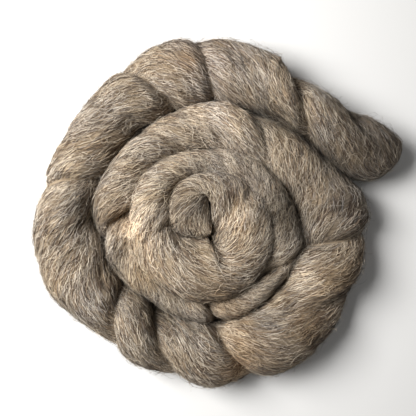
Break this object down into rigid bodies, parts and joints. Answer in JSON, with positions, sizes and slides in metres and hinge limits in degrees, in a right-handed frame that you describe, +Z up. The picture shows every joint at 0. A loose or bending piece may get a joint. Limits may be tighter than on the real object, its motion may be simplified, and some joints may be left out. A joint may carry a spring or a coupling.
{
  "type": "wool roving",
  "caption": "Thick twisted strand of undyed heather-grey combed wool roving, wound flat in a spiral coil that rests on a surface, with its loose outer end lying beside it.",
  "frame": {"origin": "on the surface that the coil rests on, under the centre of the coil's box", "axes": "+Z up out of the coil, +X across the coil towards the loose end, +Y across the coil"},
  "size_m": [0.1982, 0.185, 0.0375],
  "materials": {
    "combed_wool": "matt, heathered, loose fibres"
  },
  "bodies": {
    "root": {"roving_coil": "combed_wool"}
  },
  "joints": []
}
